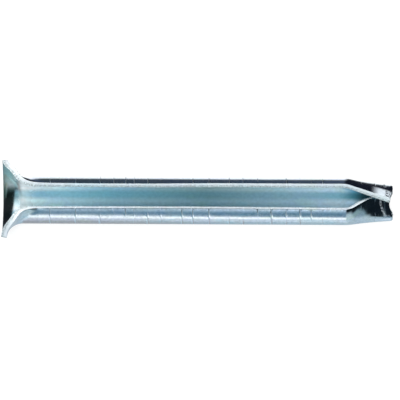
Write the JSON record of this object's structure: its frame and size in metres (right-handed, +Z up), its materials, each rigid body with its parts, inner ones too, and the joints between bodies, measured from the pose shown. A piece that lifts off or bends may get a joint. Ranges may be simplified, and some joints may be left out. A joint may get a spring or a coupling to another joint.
{
  "type": "round head nail",
  "caption": "Hollow round-head nail rolled from one strip of sheet steel into an open tube, with a flared funnel head and a pinched tip; driven into a bored hole.",
  "frame": {"origin": "centre of the base of the nail's box as it lies at rest on its back", "axes": "+X from the head towards the tip, +Y across the nail, +Z up; the slot faces up"},
  "size_m": [0.0662, 0.0136, 0.0089],
  "materials": {
    "nail": "bright bluish zinc plating, with fine marks from rolling"
  },
  "bodies": {
    "root": {"nail": "nail"}
  },
  "joints": []
}
